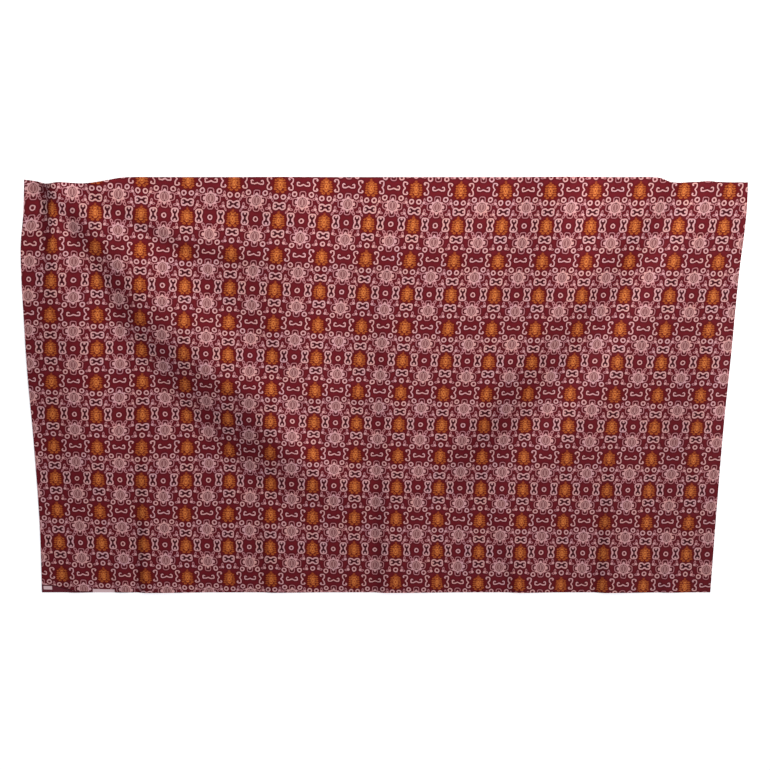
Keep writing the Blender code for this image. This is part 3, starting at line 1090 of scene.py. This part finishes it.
def with_orange_trees(colour, orange, wear):
    """The colour so far with the orange trees."""
    colour = mixed(inked(orange.top_leaf, TOP_LEAF_SOFTNESS) * TOP_LEAF_COVER, colour, srgb(TOP_LEAF))
    leaf_dye = mixed(wear, srgb(DARK_LEAF), srgb(LIGHT_LEAF))
    colour = mixed(inked(orange.leaves, LEAF_SOFTNESS), colour, leaf_dye)
    leaf_share = inked(orange.leaves - LEAF_SHARE_REACH, LEAF_SOFTNESS)
    vein_share = inked(orange.veins, VEIN_SOFTNESS) * leaf_share * LEAF_VEIN_COVER
    colour = mixed(vein_share, colour, srgb(LEAF_VEINS))
    return mixed(inked(orange.frames, VEIN_SOFTNESS) * leaf_share, colour, srgb(LEAF_FRAMES))


def printed_colour(tree, along, high, cloth_place):
    """The print's colour, with the slow changes of its dyes and its wear."""
    place = chart_place(along, high, print_drift(tree, cloth_place))
    motifs = print_motifs(tree, cloth_place, place)
    dye = random_share(noise(tree, cloth_place, DYE))
    ink = random_share(noise(tree, cloth_place, INK))
    wear = random_share(noise(tree, cloth_place, WEAR))
    colour = with_pink_print(ground_colour(motifs, dye), motifs, ink)
    colour = with_flower_hearts(colour, motifs.flower)
    colour = with_orange_trees(colour, motifs.orange, wear)
    return mixed(wear * WEAR_COVER, colour, srgb(WORN_PRINT))


def with_pale_underside(tree, colour):
    """The colour, paler on the underside."""
    back = tree.nodes.new("ShaderNodeAttribute")
    back.attribute_name = "underside"
    return mixed(Field(tree, back.outputs["Fac"]) * UNDERSIDE_COVER, colour, srgb(PALE_UNDERSIDE))


def cotton_material():
    """Cotton printed by hand: pink line work and orange trees on maroon."""
    material = bpy.data.materials.new("printed_cotton")
    material.use_nodes = True
    tree = material.node_tree
    shader = tree.nodes["Principled BSDF"]
    along, high = cloth_coordinates(tree)
    cloth_place = place_of(along, high)
    colour = selvedge(cloth_place, printed_colour(tree, along, high, cloth_place))
    connect(tree, with_pale_underside(tree, colour), shader.inputs["Base Color"])
    connect(tree, weave_bump(tree, cloth_place), shader.inputs["Normal"])
    shader.inputs["Roughness"].default_value = COTTON_ROUGHNESS
    shader.inputs["Specular IOR Level"].default_value = COTTON_SHINE
    return material


def floor_material():
    """Matt white that glows a little, like the backdrop of a cut-out."""
    material = bpy.data.materials.new("floor")
    material.use_nodes = True
    shader = material.node_tree.nodes["Principled BSDF"]
    shader.inputs["Base Color"].default_value = FLOOR_COLOUR
    shader.inputs["Roughness"].default_value = FLOOR_ROUGHNESS
    shader.inputs["Emission Color"].default_value = (1.0, 1.0, 1.0, 1.0)
    shader.inputs["Emission Strength"].default_value = FLOOR_GLOW
    return material


def make_floor():
    """A plain square of floor, just under the cloth."""
    mesh = bpy.data.meshes.new("floor")
    turns = ((-1.0, -1.0), (1.0, -1.0), (1.0, 1.0), (-1.0, 1.0))
    corners = [(FLOOR_REACH * along, FLOOR_REACH * up, -FLOOR_GAP) for along, up in turns]
    mesh.from_pydata(corners, [], [(0, 1, 2, 3)])
    mesh.materials.append(floor_material())
    floor = bpy.data.objects.new("floor", mesh)
    bpy.context.scene.collection.objects.link(floor)


def make_camera():
    """A camera above the cloth, tilted a little so that the upper selvedge is nearer to it."""
    data = bpy.data.cameras.new("camera")
    data.sensor_width = CAMERA_SENSOR
    data.lens = CAMERA_LENS
    camera = bpy.data.objects.new("camera", data)
    camera.location = camera_place()
    camera.rotation_euler = (-np.radians(CAMERA_TILT), 0.0, 0.0)
    bpy.context.scene.collection.objects.link(camera)
    bpy.context.scene.camera = camera


def add_light(light, place, towards):
    """Put a light in the scene. It shines along its own -Z, which is turned this way."""
    light.location = place
    light.rotation_euler = Vector(towards).to_track_quat("-Z", "Y").to_euler()
    light.visible_camera = False
    bpy.context.scene.collection.objects.link(light)


def make_key():
    """The main light, low on the right, which shows the folds up."""
    data = bpy.data.lights.new("key", "SUN")
    data.energy = KEY_STRENGTH
    data.angle = np.radians(KEY_SOFTNESS)
    add_light(bpy.data.objects.new("key", data), KEY_FROM, -Vector(KEY_FROM))


def make_window():
    """A wide soft light beyond the upper selvedge, which fades towards the lower one."""
    data = bpy.data.lights.new("window", "AREA")
    data.shape = "RECTANGLE"
    data.size, data.size_y = WINDOW_SIZE
    data.energy = WINDOW_POWER
    data.color = WINDOW_COLOUR
    towards = Vector(WINDOW_TARGET) - Vector(WINDOW_PLACE)
    add_light(bpy.data.objects.new("window", data), WINDOW_PLACE, towards)


def make_surround():
    """An even, slightly cool surround, and colours shown as they are."""
    world = bpy.data.worlds.new("surround")
    world.use_nodes = True
    background = world.node_tree.nodes["Background"]
    background.inputs["Color"].default_value = SURROUND_COLOUR
    background.inputs["Strength"].default_value = SURROUND_STRENGTH
    bpy.context.scene.world = world
    bpy.context.scene.view_settings.view_transform = "Standard"


make_floor()
make_camera()
make_key()
make_window()
make_surround()
sarong = make_cloth()
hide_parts("sarong_cloth")
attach(sarong, "root")
